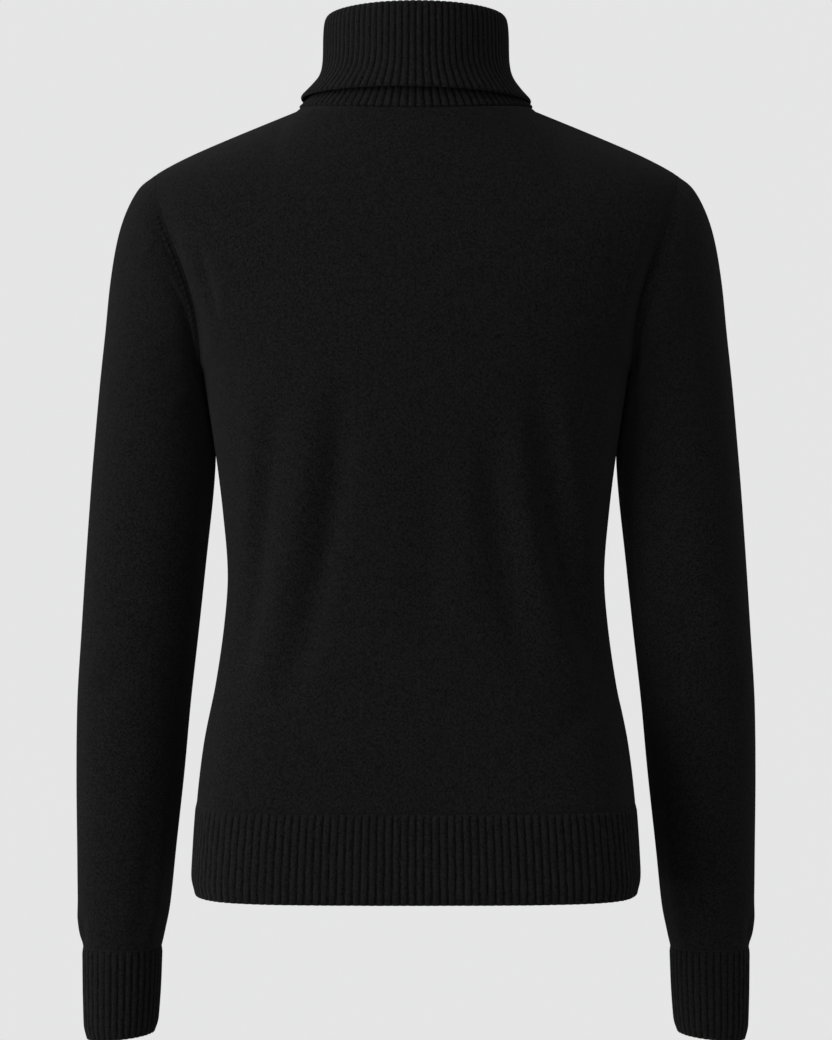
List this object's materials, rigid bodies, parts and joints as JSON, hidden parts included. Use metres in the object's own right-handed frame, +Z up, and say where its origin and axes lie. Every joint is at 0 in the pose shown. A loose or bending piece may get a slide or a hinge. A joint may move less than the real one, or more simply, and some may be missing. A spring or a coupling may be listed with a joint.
{
  "type": "turtleneck sweater",
  "caption": "Fitted long-sleeved turtleneck sweater in charcoal fine knit, with a folded ribbed roll collar, ribbed hem and ribbed cuffs, filled out as worn.",
  "frame": {"origin": "midway between the two points where a shoulder seam meets the collar, where the sweater rests on its wearer", "axes": "+Z up, +Y to the wearer's front, +X to the wearer's right; the pictured back faces -Y"},
  "size_m": [0.5138, 0.2365, 0.7721],
  "materials": {
    "plain_knit": "matte",
    "rib_knit": "matte"
  },
  "bodies": {
    "root": {"back_panel": "plain_knit", "front_panel": "plain_knit", "hem_rib_back": "rib_knit", "hem_rib_front": "rib_knit", "left_sleeve": "plain_knit", "right_sleeve": "plain_knit", "left_cuff": "rib_knit", "right_cuff": "rib_knit", "collar": "rib_knit"}
  },
  "joints": []
}
